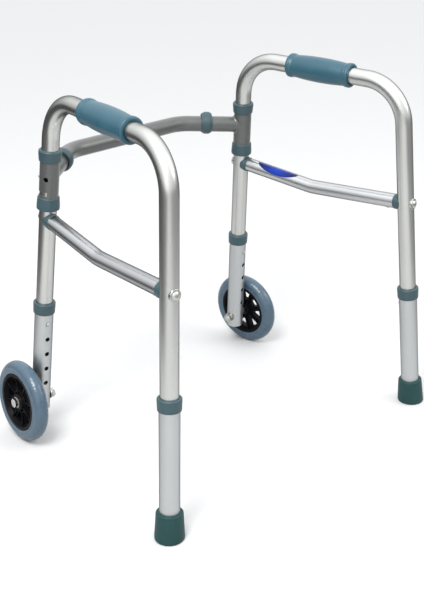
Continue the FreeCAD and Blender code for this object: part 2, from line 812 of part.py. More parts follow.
def lower_leg(label, place, low, high, top_hole, sign, azimuth):
    """The outer tube of a lower leg with its row of height holes."""
    body = new_body(label, place)
    tube(body, sized("leg_od"), sized("leg_wall"), low, high - low)
    lowest = top_hole - SIZES["hole_pitch"] * (SIZES["hole_count"] - 1)
    drill(body, radial(sign, azimuth, lowest, SIZES["leg_od"] / 2 + 1), radius_of("hole_od"), 4.0)
    row = body.newObject("PartDesign::LinearPattern", label + "_row")
    row.Originals = [body.Tip]
    row.Direction = ([item for item in body.Origin.OriginFeatures if item.Role == "Z_Axis"][0], [""])
    row.Occurrences = SIZES["hole_count"]
    row.Length = SIZES["hole_pitch"] * (SIZES["hole_count"] - 1)
    row.setExpression("Length", "sizes.hole_pitch * (sizes.hole_count - 1)")
    body.Tip = row
    doc.recompute()
    return body


def front_leg(side, sign):
    high = sized("front_collar_top") - sized("collar_lip")
    body = lower_leg(side + "_front_leg", front_place(sign), sized("front_leg_end"), high,
                     SIZES["front_hole"], sign, REAR_FACE)
    drill(body, axle_in_leg(sign), radius_of("axle_od") + 0.1, sized("leg_od") + 10, both_ways=True)
    return finish(body)


def rear_leg(side, sign):
    high = sized("rear_collar_top") - sized("collar_lip")
    low = sized("ferrule_sole") + sized("washer_thick") + 0.1
    return finish(lower_leg(side + "_rear_leg", rear_place(sign), low, high,
                            SIZES["rear_hole"], sign, FRONT_FACE))


def leg_collar(label, place, top):
    """The collar on a lower leg's top end; its lip guides the inner tube."""
    body = new_body(label, place)
    bore, seat = radius_of("running_bore") + 0.03, radius_of("leg_od") + 0.02
    outer = radius_of("leg_collar_od")
    skirt, lip = top - sized("leg_collar_height"), top - sized("collar_lip")
    revolve(body, [
        (bore, top), (bore, lip), (seat, lip), (seat, skirt), (outer - 1.8, skirt, (2.0, 1)),
        (outer - 0.4, skirt + 2), (outer, top - 4.5), (outer, top - 2, (2.2, 1)), (outer - 2, top),
    ])
    return finish(body)


def ferrule(side, sign):
    """A rubber foot that widens to a round edge, with its sole flat on the floor."""
    body = new_body(side + "_ferrule", rear_place(sign))
    top, base = radius_of("ferrule_top_od"), radius_of("ferrule_base_od")
    seat, high = radius_of("leg_od") + 0.02, sized("ferrule_height")
    revolve(body, [
        (0.0, -4.0), (base, -4.0), (base, 5.0), (top, high - 2, (2.1, 1)), (top - 2, high),
        (seat, high), (seat, sized("ferrule_sole")), (0.0, sized("ferrule_sole")),
    ])
    floor = body.Placement.inverse() * FreeCAD.Placement(rear_place(sign).Base, FreeCAD.Rotation())
    sketch = new_sketch(body, floor)
    add_circle(sketch, 60.0)
    pocket(body, sketch, 20.0)
    round_edges(body, sized("sole_edge"), lambda edge: edge.BoundBox.ZLength > 0
                and edge.Length > SIZES["ferrule_base_od"] * 3)
    return finish(body)


def ferrule_washer(side, sign):
    body = new_body(side + "_ferrule_washer", rear_place(sign))
    sketch = new_sketch(body, FreeCAD.Placement(V(0, 0, SIZES["ferrule_sole"] + 0.02), FreeCAD.Rotation()))
    add_circle(sketch, radius_of("leg_od") - 0.1)
    pad(body, sketch, sized("washer_thick"))
    return finish(body)


# ---------------------------------------------------------------- front wheels

def axle_way(sign):
    """World direction of an axle, square to its leg."""
    place = front_place(sign)
    return place.Rotation.multVec(turned(V(1, 0, 0), around(sign, SIZES["axle_azimuth"])))


def axle_height(sign):
    """Height up the leg that sets the tread on the floor."""
    crown, tread = SIZES["crown_radius"], SIZES["wheel_od"] / 2
    lean = math.asin(axle_way(sign).z)
    centre = (tread - crown) * math.cos(lean) + crown
    leg = front_place(sign).Rotation.multVec(Z_AXIS)
    return (centre - SIZES["wheel_offset"] * axle_way(sign).z) / leg.z


def axle_in_leg(sign):
    return radial(sign, SIZES["axle_azimuth"], axle_height(sign))


def axle_place(sign):
    """Origin on the leg's axis, Z along the axle towards the outside."""
    return front_place(sign) * axle_in_leg(sign)


def wheel_place(sign):
    return axle_place(sign) * FreeCAD.Placement(V(0, 0, SIZES["wheel_offset"]), FreeCAD.Rotation())


def tyre(side, sign):
    body = new_body(side + "_tyre", wheel_place(sign))
    half, tread = sized("tyre_width") / 2, radius_of("wheel_od")
    crown = SIZES["crown_radius"]
    edge = sized("wheel_od") / 2 - (crown - math.sqrt(crown ** 2 - (SIZES["tyre_width"] / 2) ** 2))
    seat = radius_of("rim_od") + 0.03
    revolve(body, [
        (seat, -half), (edge, -half, (sized("crown_radius"), 1)), (edge, half), (seat, half),
    ])
    return finish(body)


def wheel_rim(side, sign):
    """Rim, web and hub in one moulding, with an opening between each pair of spokes."""
    body = new_body(side + "_wheel_rim", wheel_place(sign))
    half, web = sized("tyre_width") / 2 - 0.6, sized("web_thick") / 2
    rim, inside = radius_of("rim_od"), radius_of("rim_inside_od")
    hub, bore, end = radius_of("hub_od"), radius_of("hub_bore"), sized("hub_width") / 2
    revolve(body, [
        (bore, -end), (hub - 1, -end), (hub, -end + 1), (hub + 1.5, -web), (inside, -web),
        (inside + 3, -half), (rim, -half), (rim, half), (inside + 3, half), (inside, web),
        (hub + 1.5, web), (hub, end - 1), (hub - 1, end), (bore, end),
    ])
    sketch = new_sketch(body, FreeCAD.Placement(V(0, 0, value_of(half)), FreeCAD.Rotation()))
    inner, outer = value_of(hub) + 8.0, value_of(inside) - 1.5
    spread = math.radians(180.0 / SIZES["spokes"])
    narrow, wide = spread * 0.45, spread * 0.65
    corner = [(inner, narrow), (outer, wide), (outer, -wide), (inner, -narrow)]
    points = [(reach * math.cos(turn), reach * math.sin(turn)) for reach, turn in corner]
    points[1] = (points[1][0], points[1][1], (outer, -1))
    add_outline(sketch, points)
    opening = pocket(body, sketch, sized("tyre_width"))
    turns = body.newObject("PartDesign::PolarPattern", body.Name + "_turns")
    turns.Originals = [opening]
    turns.Axis = ([item for item in body.Origin.OriginFeatures if item.Role == "Z_Axis"][0], [""])
    turns.Angle = 360.0
    turns.Occurrences = SIZES["spokes"]
    body.Tip = turns
    doc.recompute()
    return finish(body)


def hub_outer_face():
    return sized("wheel_offset") + sized("hub_width") / 2 + 0.3


def wheel_bush(side, sign):
    """The clamped steel sleeve that the hub turns on, with a shoulder at the leg."""
    body = new_body(side + "_wheel_bush", axle_place(sign))
    low, shoulder = radius_of("leg_od") + 0.1, sized("wheel_offset") - sized("hub_width") / 2 - 0.3
    bore, outer = radius_of("axle_od") + 0.03, radius_of("hub_bore") - 0.06
    flange = radius_of("bush_flange_od")
    high = hub_outer_face()
    revolve(body, [
        (bore, low), (flange, low), (flange, shoulder), (outer, shoulder), (outer, high), (bore, high),
    ])
    return finish(body)


def axle_bolt(side, sign):
    """Hexagon bolt from the outside, through the bush and both walls of the leg."""
    body = new_body(side + "_axle_bolt", axle_place(sign))
    seat = hub_outer_face() + sized("plate_thick") + 0.05
    inner_end = -(radius_of("leg_od") + sized("plate_thick") + sized("nut_height") - 0.6)
    hex_block(body, SIZES["hex_width"], seat, sized("bolt_head"))
    start = FreeCAD.Placement(V(0, 0, value_of(inner_end)), FreeCAD.Rotation())
    sketch = new_sketch(body, start)
    add_circle(sketch, radius_of("axle_od"))
    pad(body, sketch, seat - inner_end)
    return finish(body)


def axle_nut(side, sign):
    """A domed nut against the inner side of the leg."""
    body = new_body(side + "_axle_nut", axle_place(sign))
    seat = -(radius_of("leg_od") + sized("plate_thick") + 0.1)
    low = seat - sized("nut_height")
    hex_block(body, SIZES["hex_width"], low, sized("nut_height") * 0.75)
    dome = SIZES["hex_width"] / 2 - 0.3
    revolve(body, [
        (0.0, low - 2.0, (dome_radius(dome, 2.8), 1)), (dome, low + 0.8), (dome, seat), (0.0, seat),
    ])
    drill(body, FreeCAD.Placement(V(0, 0, value_of(seat) + 1), FreeCAD.Rotation()),
          radius_of("axle_od") + 0.02, sized("nut_height") + 0.8)
    return finish(body)


def plate_washer(label, sign, low):
    body = new_body(label, axle_place(sign))
    sketch = new_sketch(body, FreeCAD.Placement(V(0, 0, value_of(low)), FreeCAD.Rotation()))
    add_circle(sketch, radius_of("plate_od"))
    add_circle(sketch, radius_of("axle_od") + 0.2)
    pad(body, sketch, sized("plate_thick"))
    return body


def axle_washers(side, sign):
    inner = -(radius_of("leg_od") + sized("plate_thick") + 0.05)
    outer = hub_outer_face() + 0.02
    return group(side + "_axle_washers", [
        plate_washer(side + "_inner_washer", sign, inner),
        plate_washer(side + "_outer_washer", sign, outer),
    ])


# ---------------------------------------------------------------- the label on the right brace

def brace_label():
    """A thin half-oval label bent round the upper inner side of the right brace."""
    place = side_place(RIGHT) * brace_front()
    surface, thick = radius_of("brace_od") + 0.02, sized("label_thick")
    film = new_body("label_film", place)
    tube(film, (surface + thick) * 2, thick, sized("label_start"), sized("label_length"))

    half, depth = SIZES["label_length"] / 2, SIZES["label_depth"]
    along = Z_AXIS
    inner = place.inverse().Rotation.multVec(-outward_of(RIGHT))
    cutter = new_body("label_outline", place)
    flat = FreeCAD.Placement(V(0, 0, 0), FreeCAD.Rotation(along, inner.cross(along), inner, "ZXY"))
    sketch = new_sketch(cutter, flat)
    start, end = sized("label_start"), sized("label_start") + sized("label_length")
    add_outline(sketch, [(start, surface, (dome_radius(half, depth), 1)), (end, surface)])
    pad(cutter, sketch, sized("brace_od"))

    label = doc.addObject("Part::Common", "brace_label")
    label.Label = "brace_label"
    label.Base = film
    label.Tool = cutter
    doc.recompute()
    return finish(label)


# ---------------------------------------------------------------- assembly

def front_frame():
    cross_bar()
    bar_rivets()
    for side, sign in SIDES.items():
        t_sleeve(side, sign)
        sleeve_collar(side + "_sleeve_upper_collar", sign, sized("sleeve_top"), sized("upper_collar"), True)
        sleeve_collar(side + "_sleeve_lower_collar", sign, sized("sleeve_bottom"), sized("lower_collar"),
                      False)
        bar_collar(side, sign)
        bar_joiner(side, sign)


def side_frame(side, sign):
    side_tube(side, sign)
    grip(side, sign)
    brace(side, sign)
    brace_saddle(side + "_brace_front_saddle", sign, brace_front(), front_leg_way())
    brace_saddle(side + "_brace_rear_saddle", sign, brace_rear(), rear_leg_way())
    brace_screws(side, sign)
    brace_washers(side, sign)
    fold_stop_pin(side, sign)


def buttons(side, sign):
    front, rear = front_place(sign), rear_place(sign)
    leg_proud = SIZES["leg_od"] / 2 + 1.6
    spring_button(side + "_front_leg_button", button_place(front, sign, REAR_FACE, SIZES["front_hole"]),
                  leg_proud)
    spring_button(side + "_rear_leg_button", button_place(rear, sign, FRONT_FACE, SIZES["rear_hole"]),
                  leg_proud)
    spring_button(side + "_fold_button",
                  button_place(front, sign, SIZES["button_azimuth"], SIZES["button_height"]),
                  SIZES["sleeve_od"] / 2 + 1.6)


def lower_legs(side, sign):
    front_leg(side, sign)
    leg_collar(side + "_front_leg_collar", front_place(sign), sized("front_collar_top"))
    rear_leg(side, sign)
    leg_collar(side + "_rear_leg_collar", rear_place(sign), sized("rear_collar_top"))
    ferrule(side, sign)
    ferrule_washer(side, sign)


def wheels(side, sign):
    tyre(side, sign)
    wheel_rim(side, sign)
    wheel_bush(side, sign)
    axle_bolt(side, sign)
    axle_nut(side, sign)
    axle_washers(side, sign)


def check_objects():
    """Stops if any object of the document failed to build."""
    for item in doc.Objects:
        if "Invalid" in item.State or "Error" in item.State:
            raise RuntimeError("%s did not build" % item.Label)
    for part in PARTS:
        if part.Shape.isNull() or not part.Shape.isValid():
            raise RuntimeError("%s has no sound shape" % part.Label)


front_frame()
for side, sign in SIDES.items():
    side_frame(side, sign)
    buttons(side, sign)
    lower_legs(side, sign)
    wheels(side, sign)
brace_label()

doc.recompute()
check_objects()
os.makedirs("parts", exist_ok=True)
for part in PARTS:
    part.Shape.exportStep("parts/%s.step" % part.Label)
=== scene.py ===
"""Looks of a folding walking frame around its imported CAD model."""
import json
import math

import bmesh
import bpy
import numpy as np
from mathutils import Matrix, Vector


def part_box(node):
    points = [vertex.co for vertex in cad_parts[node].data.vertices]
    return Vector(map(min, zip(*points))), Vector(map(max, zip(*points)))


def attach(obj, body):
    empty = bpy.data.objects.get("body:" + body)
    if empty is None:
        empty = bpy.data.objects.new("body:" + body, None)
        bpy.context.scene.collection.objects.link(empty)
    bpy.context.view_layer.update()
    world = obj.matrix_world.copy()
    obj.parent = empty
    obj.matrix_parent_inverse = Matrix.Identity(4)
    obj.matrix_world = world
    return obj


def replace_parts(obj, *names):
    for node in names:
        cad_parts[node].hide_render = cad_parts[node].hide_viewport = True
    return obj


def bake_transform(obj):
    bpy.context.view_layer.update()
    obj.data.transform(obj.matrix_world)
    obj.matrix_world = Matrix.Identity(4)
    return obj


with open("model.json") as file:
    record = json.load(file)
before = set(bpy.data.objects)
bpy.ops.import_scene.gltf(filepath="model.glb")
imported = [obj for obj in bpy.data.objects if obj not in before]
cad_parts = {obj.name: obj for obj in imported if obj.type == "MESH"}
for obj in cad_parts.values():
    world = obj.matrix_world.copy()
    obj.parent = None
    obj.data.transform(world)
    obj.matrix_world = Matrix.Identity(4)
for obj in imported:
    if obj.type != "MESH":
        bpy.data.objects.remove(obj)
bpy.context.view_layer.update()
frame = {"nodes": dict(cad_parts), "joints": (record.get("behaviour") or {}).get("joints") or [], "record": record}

RECORD = frame["record"]
JOINTS = {joint["name"]: joint for joint in frame["joints"]}
SLOT_OF = {part["node"]: part["material_slot"] for part in RECORD["subparts"]}
SIDES = ("left", "right")
UP = Vector((0, 0, 1))
MM = 0.001

# ---------------------------------------------------------------- camera and finishes

CAMERA_SPOT = (-1.062, -1.119, 0.871)
CAMERA_YAW, CAMERA_PITCH, CAMERA_ROLL = -43.778, 23.382, -1.002
CAMERA_LENS = 64.86


def camera_axes():
    """Right, up and forward of the camera."""
    yaw, pitch, roll = (math.radians(a) for a in (CAMERA_YAW, CAMERA_PITCH, CAMERA_ROLL))
    ahead = Vector((-math.sin(yaw) * math.cos(pitch), math.cos(yaw) * math.cos(pitch), -math.sin(pitch)))
    right = Vector((math.cos(yaw), math.sin(yaw), 0))
    over = right.cross(ahead)
    return (right * math.cos(roll) + over * math.sin(roll),
            over * math.cos(roll) - right * math.sin(roll), ahead)


def make_camera():
    data = bpy.data.cameras.new("camera")
    data.lens, data.sensor_width, data.sensor_fit = CAMERA_LENS, 36.0, "AUTO"
    data.clip_start, data.clip_end = 0.05, 50.0
    camera = bpy.data.objects.new("camera", data)
    right, over, ahead = camera_axes()
    turn = Matrix((right, over, -ahead)).transposed().to_4x4()
    camera.matrix_world = Matrix.Translation(CAMERA_SPOT) @ turn
    bpy.context.scene.collection.objects.link(camera)
    bpy.context.scene.camera = camera


make_camera()


class Paint:
    """A node material under construction."""

    def __init__(self, name, **sockets):
        self.material = bpy.data.materials.new(name)
        self.material.use_nodes = True
        self.tree = self.material.node_tree
        self.shader = self.tree.nodes["Principled BSDF"]
        for socket, value in sockets.items():
            self.shader.inputs[socket.replace("_", " ")].default_value = value
        self.place = self.node("ShaderNodeTexCoord").outputs["Object"]

    def node(self, kind, settings=None, **inputs):
        made = self.tree.nodes.new(kind)
        for name, value in (settings or {}).items():
            setattr(made, name, value)
        for name, value in inputs.items():
            self.feed(made.inputs[name.replace("_", " ")], value)
        return made

    def feed(self, socket, value):
        if isinstance(value, bpy.types.NodeSocket):
            self.tree.links.new(value, socket)
        else:
            socket.default_value = value

    def stretched(self, scale):
        return self.node("ShaderNodeMapping", Vector=self.place, Scale=scale).outputs["Vector"]

    def noise(self, scale, detail=3.0, stretch=None, rough=0.55):
        place = self.place if stretch is None else self.stretched(stretch)
        return self.node("ShaderNodeTexNoise", Vector=place, Scale=scale, Detail=detail,
                         Roughness=rough).outputs["Fac"]

    def cells(self, scale):
        return self.node("ShaderNodeTexVoronoi", Vector=self.place, Scale=scale).outputs["Distance"]

    def spread(self, value, low, high, to_low=0.0, to_high=1.0):
        return self.node("ShaderNodeMapRange", Value=value, From_Min=low, From_Max=high,
                         To_Min=to_low, To_Max=to_high).outputs["Result"]

    def mix(self, amount, first, second):
        made = self.node("ShaderNodeMix", {"data_type": "RGBA"})
        self.feed(made.inputs[0], amount)
        self.feed(made.inputs[6], first)
        self.feed(made.inputs[7], second)
        return made.outputs[2]

    def math(self, kind, first, second=0.0):
        made = self.node("ShaderNodeMath", {"operation": kind})
        self.feed(made.inputs[0], first)
        self.feed(made.inputs[1], second)
        return made.outputs[0]

    def soft_edges(self, radius):
        """A normal that rounds sharp edges by this radius."""
        return self.node("ShaderNodeBevel", {"samples": 4}, Radius=radius).outputs["Normal"]

    def bumps(self, heights, edge=0.0):
        """Bumps on top of each other: (height, strength, distance) each."""
        normal = self.soft_edges(edge) if edge else None
        for height, strength, distance in heights:
            made = self.node("ShaderNodeBump", Height=height, Strength=strength, Distance=distance)
            if normal is not None:
                self.feed(made.inputs["Normal"], normal)
            normal = made.outputs["Normal"]
        self.feed(self.shader.inputs["Normal"], normal)

    def colour(self, value):
        self.feed(self.shader.inputs["Base Color"], value)

    def roughness(self, value):
        self.feed(self.shader.inputs["Roughness"], value)


def rgb(red, green, blue):
    return (red, green, blue, 1.0)


def drawn_metal(name, light, dark, smooth, rough, edge=0.0):
    """Drawn aluminium tube: satin, with fine streaks along it, faint clouds and a few scuffs."""
    paint = Paint(name, Metallic=1.0, Specular_Tint=rgb(0.12, 0.12, 0.13))
    streaks = paint.noise(300.0, 2.0, (1.0, 1.0, 0.03))
    clouds = paint.noise(9.0, 2.0)
    scuffs = paint.spread(paint.noise(60.0, 5.0, None, 0.6), 0.68, 0.80, 0.0, 0.3)
    base = paint.mix(paint.spread(clouds, 0.3, 0.7), dark, light)
    toned = paint.mix(paint.spread(streaks, 0.3, 0.7, 0.0, 0.2), base, light)
    paint.colour(paint.mix(scuffs, toned, dark))
    blur = paint.spread(clouds, 0.3, 0.7, smooth, rough)
    paint.roughness(paint.math("ADD", blur, paint.math("MULTIPLY", scuffs, 0.1)))
    if edge:
        paint.bumps([(paint.noise(900.0, 2.0), 0.1, 0.00001)], edge)
    return paint.material


def moulded(name, light, dark, smooth, rough, pebble=1500.0, depth=0.00005, edge=0.0006, **sockets):
    """Moulded plastic, vinyl or rubber: fine pebbled skin, slight colour clouds and rubbed spots."""
    paint = Paint(name, **sockets)
    clouds = paint.noise(38.0, 4.0)
    skin = paint.noise(pebble, 3.0)
    rubbed = paint.spread(paint.noise(120.0, 6.0, None, 0.7), 0.62, 0.78, 0.0, 0.5)
    base = paint.mix(paint.spread(clouds, 0.3, 0.7), dark, light)
    pale = rgb(*(min(1.0, c * 1.5 + 0.01) for c in light[:3]))
    paint.colour(paint.mix(rubbed, base, pale))
    paint.roughness(paint.spread(paint.math("ADD", clouds, skin), 0.7, 1.3, smooth, rough))
    paint.bumps([(clouds, 0.15, 0.0004), (skin, 0.5, depth)], edge)
    return paint.material


def frame_paint():
    """Warm grey metallic paint with orange peel and small chips."""
    paint = Paint("warm_grey_paint", Metallic=0.35, Coat_Weight=0.35, Coat_Roughness=0.22)
    flakes = paint.cells(3800.0)
    clouds = paint.noise(30.0, 4.0)
    chips = paint.spread(paint.noise(260.0, 7.0, None, 0.8), 0.70, 0.75)
    base = paint.mix(paint.spread(clouds, 0.3, 0.7), rgb(0.054, 0.060, 0.057), rgb(0.066, 0.072, 0.069))
    sparkle = paint.mix(paint.spread(flakes, 0.1, 0.6), rgb(0.11, 0.112, 0.108), base)
    paint.colour(paint.mix(chips, sparkle, rgb(0.42, 0.42, 0.41)))
    paint.roughness(paint.spread(clouds, 0.25, 0.75, 0.30, 0.42))
    paint.bumps([(paint.noise(420.0, 2.0), 0.25, 0.0003), (flakes, 0.1, 0.00003)], 0.0005)
    return paint.material


def plated(name, tint, smooth=0.16, rough=0.34):
    """Zinc plated steel with cloudy passivation and small scratches."""
    paint = Paint(name, Metallic=1.0)
    clouds = paint.noise(210.0, 4.0)
    scratches = paint.noise(900.0, 5.0, (1.0, 0.08, 0.3), 0.7)
    paint.colour(paint.mix(paint.spread(clouds, 0.35, 0.65), tint, rgb(0.50, 0.51, 0.51)))
    paint.roughness(paint.spread(paint.math("ADD", clouds, scratches), 0.7, 1.3, smooth, rough))
    paint.bumps([(scratches, 0.1, 0.00002)], 0.0003)
    return paint.material


def label_film():
    """A plain glossy blue film, paler towards its middle."""
    low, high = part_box("brace_label")
    middle = (low + high) / 2
    paint = Paint("blue_film", Specular_IOR_Level=0.2)
    away = paint.node("ShaderNodeVectorMath", {"operation": "DISTANCE"})
    paint.feed(away.inputs[0], paint.place)
    paint.feed(away.inputs[1], middle)
    fade = paint.spread(away.outputs["Value"], 0.004, 0.034)
    grain = paint.noise(700.0, 3.0)
    blue = paint.mix(fade, rgb(0.001, 0.022, 0.24), rgb(0.0005, 0.003, 0.05))
    paint.colour(paint.mix(paint.spread(grain, 0.3, 0.8, 0.0, 0.06), blue, rgb(0.01, 0.06, 0.28)))
    paint.roughness(paint.spread(grain, 0.3, 0.7, 0.2, 0.3))
    paint.bumps([(grain, 0.15, 0.00005)])
    return paint.material


def tyre_rubber():
    """Grey blue solid tyre with a fine dimpled skin that glints."""
    paint = Paint("tyre_rubber", Specular_IOR_Level=0.55)
    dimples = paint.cells(230.0)
    clouds = paint.noise(34.0, 4.0)
    dust = paint.spread(paint.noise(90.0, 6.0, None, 0.7), 0.58, 0.75, 0.0, 0.35)
    base = paint.mix(paint.spread(clouds, 0.3, 0.7), rgb(0.034, 0.064, 0.094), rgb(0.043, 0.079, 0.113))
    paint.colour(paint.mix(dust, base, rgb(0.075, 0.112, 0.145)))
    paint.roughness(paint.spread(clouds, 0.3, 0.7, 0.24, 0.34))
    paint.bumps([(dimples, 0.5, 0.0006), (paint.noise(1800.0), 0.3, 0.00004)], 0.0006)
    return paint.material


FINISHES = {
    "frame_paint": frame_paint(),
    "bare_tube": drawn_metal("satin_aluminium", rgb(0.53, 0.535, 0.52), rgb(0.50, 0.505, 0.49), 0.27, 0.30),
    "polished_tube": drawn_metal("polished_aluminium", rgb(0.50, 0.51, 0.52), rgb(0.47, 0.48, 0.49),
                                 0.27, 0.31),
    "lower_tube": drawn_metal("matt_aluminium", rgb(0.47, 0.485, 0.49), rgb(0.445, 0.46, 0.465),
                              0.38, 0.44, 0.0003),
    "collar_plastic": moulded("collar_plastic", rgb(0.022, 0.052, 0.062), rgb(0.016, 0.042, 0.050),
                              0.42, 0.54),
    "grip_vinyl": moulded("grip_vinyl", rgb(0.014, 0.065, 0.093), rgb(0.009, 0.053, 0.079), 0.34, 0.46,
                          1100.0, 0.00008),
    "foot_rubber": moulded("foot_rubber", rgb(0.006, 0.037, 0.037), rgb(0.003, 0.028, 0.028), 0.50, 0.66,
                           900.0, 0.0001, Specular_IOR_Level=0.3),
    "tyre": tyre_rubber(),
    "rim_plastic": moulded("rim_plastic", rgb(0.004, 0.004, 0.005), rgb(0.002, 0.002, 0.003), 0.34, 0.5,
                           Specular_IOR_Level=0.06),
    "zinc": plated("zinc_plate", rgb(0.40, 0.40, 0.35)),
    "spring_steel": plated("spring_steel", rgb(0.34, 0.34, 0.30), 0.22, 0.4),
    "label": label_film(),
}


def finish_nodes():
    """Gives every CAD node the finish of its slot."""
    for name, node in frame["nodes"].items():
        node.data.materials.clear()
        node.data.materials.append(FINISHES[SLOT_OF[name]])


finish_nodes()

# ---------------------------------------------------------------- mesh helpers


def node_points(name):
    """The different vertices of a CAD node."""
    spots = {tuple(round(value, 6) for value in vertex.co) for vertex in frame["nodes"][name].data.vertices}
    return np.array(sorted(spots))


def islands(name):
    """The points of each separate solid in a CAD node."""
    shape = bmesh.new()
    shape.from_mesh(frame["nodes"][name].data)
    bmesh.ops.remove_doubles(shape, verts=shape.verts, dist=1e-6)
    left, found = set(shape.verts), []
    while left:
        group, edge = set(), [next(vertex for vertex in shape.verts if vertex in left)]
        while edge:
            vertex = edge.pop()
            if vertex not in group:
                group.add(vertex)
                edge.extend(link.other_vert(vertex) for link in vertex.link_edges)
        left -= group
        found.append(np.array([tuple(vertex.co) for vertex in shape.verts if vertex in group]))
    shape.free()
    return found


def long_axis(points):
    """Middle and direction of the longest way through some points."""
    middle = points.mean(axis=0)
    ways = np.linalg.svd(points - middle, full_matrices=False)[2]
    return Vector(middle), Vector(ways[0])


def reach(points, origin, axis):
    """Lowest and highest place along an axis, and each point's distance from it."""
    offset = points - np.array(origin)
    heights = offset @ np.array(axis)
    widths = np.linalg.norm(offset - np.outer(heights, np.array(axis)), axis=1)
    return heights, widths


def around(axis):
    """Two directions square to an axis and to each other."""
    across = axis.orthogonal().normalized()
    return across, axis.cross(across)


def softened(outline, radius, closed=True, steps=5):
    """An outline with its corners rounded."""
    made, count = [], len(outline)
    for number, point in enumerate(outline):
        corner = Vector(point)
        if not closed and number in (0, count - 1):
            made.append(tuple(corner))
            continue
        back = Vector(outline[number - 1]) - corner
        onward = Vector(outline[(number + 1) % count]) - corner
        size = min(radius, back.length * 0.45, onward.length * 0.45)
        start, end = corner + back.normalized() * size, corner + onward.normalized() * size
        for step in range(steps + 1):
            t = step / steps
            made.append(tuple(start * (1 - t) ** 2 + corner * (2 * t * (1 - t)) + end * t ** 2))
    return made


def add_piece(name, shape, node, body):
    """Makes a bmesh into a piece with the finish of a CAD node's slot, riding on a body if one is given."""
    bmesh.ops.remove_doubles(shape, verts=shape.verts, dist=1e-7)
    bmesh.ops.recalc_face_normals(shape, faces=shape.faces)
    mesh = bpy.data.meshes.new(name)
    shape.to_mesh(mesh)
    shape.free()
    for face in mesh.polygons:
        face.use_smooth = True
    mesh.set_sharp_from_angle(angle=math.radians(38))
    mesh.materials.append(FINISHES[SLOT_OF[node]])
    piece = bpy.data.objects.new(name, mesh)
    bpy.context.scene.collection.objects.link(piece)
    if body:
        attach(piece, body)
    return piece


def turn_outline(shape, outline, origin, axis, closed=True, turns=128, change=None):
    """Turns an outline of (radius, height) about an axis. change can move a point by its angle."""
    axis = axis.normalized()
    across, other = around(axis)
    rings = []
    for number in range(turns):
        angle = math.tau * number / turns
        way = across * math.cos(angle) + other * math.sin(angle)
        ring = []
        for index, (radius, height) in enumerate(outline):
            if change is not None:
                radius = change(angle, index, radius, height)
            ring.append(shape.verts.new(origin + axis * height + way * radius))
        rings.append(ring)
    last = len(outline) if closed else len(outline) - 1
    for one, two in zip(rings, rings[1:] + rings[:1]):
        for index in range(last):
            onward = (index + 1) % len(outline)
            shape.faces.new((one[index], two[index], two[onward], one[onward]))


# ---------------------------------------------------------------- wheels

SPOKES = 8
CROWN = 12.2 * MM  # radius of the rounded tread
LINE_DEPTH, LINE_WIDTH = 0.14 * MM, 0.4 * MM
OPENING_START = 20.5 * MM
WEB_FACE = 4.3  # mm, just under the web's surface
RIB_HALF = 1.0 * MM
RIB = ((13.4, WEB_FACE), (13.4, 8.6), (18.0, 6.8), (31.0, 6.8), (37.2, 9.4), (37.6, WEB_FACE))
HUB_RING = ((16.2, WEB_FACE), (16.2, 6.6), (17.8, 6.6), (17.8, WEB_FACE))


def tyre_outline(half, tread, seat):
    """A round tread with a thin mould line, and a bead lip each side."""
    middle, limit = tread - CROWN, math.asin(min(1.0, half / CROWN))
    outline = []
    for step in range(-40, 41):
        angle = limit * step / 40
        height = CROWN * math.sin(angle)
        line = LINE_DEPTH * (1 - math.exp(-(height / LINE_WIDTH) ** 2))
        outline.append((middle + CROWN * math.cos(angle) - line, height))
    lip = [(5.6, 0.0), (4.6, 0.5), (3.9, 0.5), (3.1, 0.0), (1.2, 0.2), (0.02, 1.6)]
    side = [(seat + radius * MM, half - inward * MM) for radius, inward in lip]
    return outline + softened(side + [(radius, -height) for radius, height in reversed(side)], 0.5 * MM)


def make_wheel(side):
    """The moulded tyre, and the ribs of the wheel."""
    joint = JOINTS[side + "_wheel_roll"]
    middle, axis = Vector(joint["pos_m"]), Vector(joint["axis"]).normalized()
    body = side + "_wheel"
    heights, widths = reach(node_points(side + "_tyre"), middle, axis)
    shape = bmesh.new()
    turn_outline(shape, tyre_outline(heights.max(), widths.max(), widths.min()), middle, axis, turns=192)
    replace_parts(add_piece(side + "_moulded_tyre", shape, side + "_tyre", body), side + "_tyre")
    make_ribs(side, middle, axis, body)


def opening_phase(side, middle, axis):
    """Angle of the wheel's first opening, found at the openings' inner ends."""
    points = node_points(side + "_wheel_rim")
    widths = reach(points, middle, axis)[1]
    across, other = around(axis)
    near = points[np.abs(widths - OPENING_START) < 0.2 * MM] - np.array(middle)
    angles = np.arctan2(near @ np.array(other), near @ np.array(across))
    return math.atan2(np.sin(SPOKES * angles).sum(), np.cos(SPOKES * angles).sum()) / SPOKES


def add_rib(shape, middle, axis, way, face):
    """One rib: its outline on both sides of the spoke, and the strips between them."""
    sideways = axis.cross(way) * RIB_HALF
    one, two = ([shape.verts.new(middle + way * (radius * MM) + axis * (height * MM * face) + shift)
                 for radius, height in RIB] for shift in (sideways, -sideways))
    shape.faces.new(one)
    shape.faces.new(list(reversed(two)))
    for index in range(len(RIB)):
        onward = (index + 1) % len(RIB)
        shape.faces.new((one[index], two[index], two[onward], one[onward]))


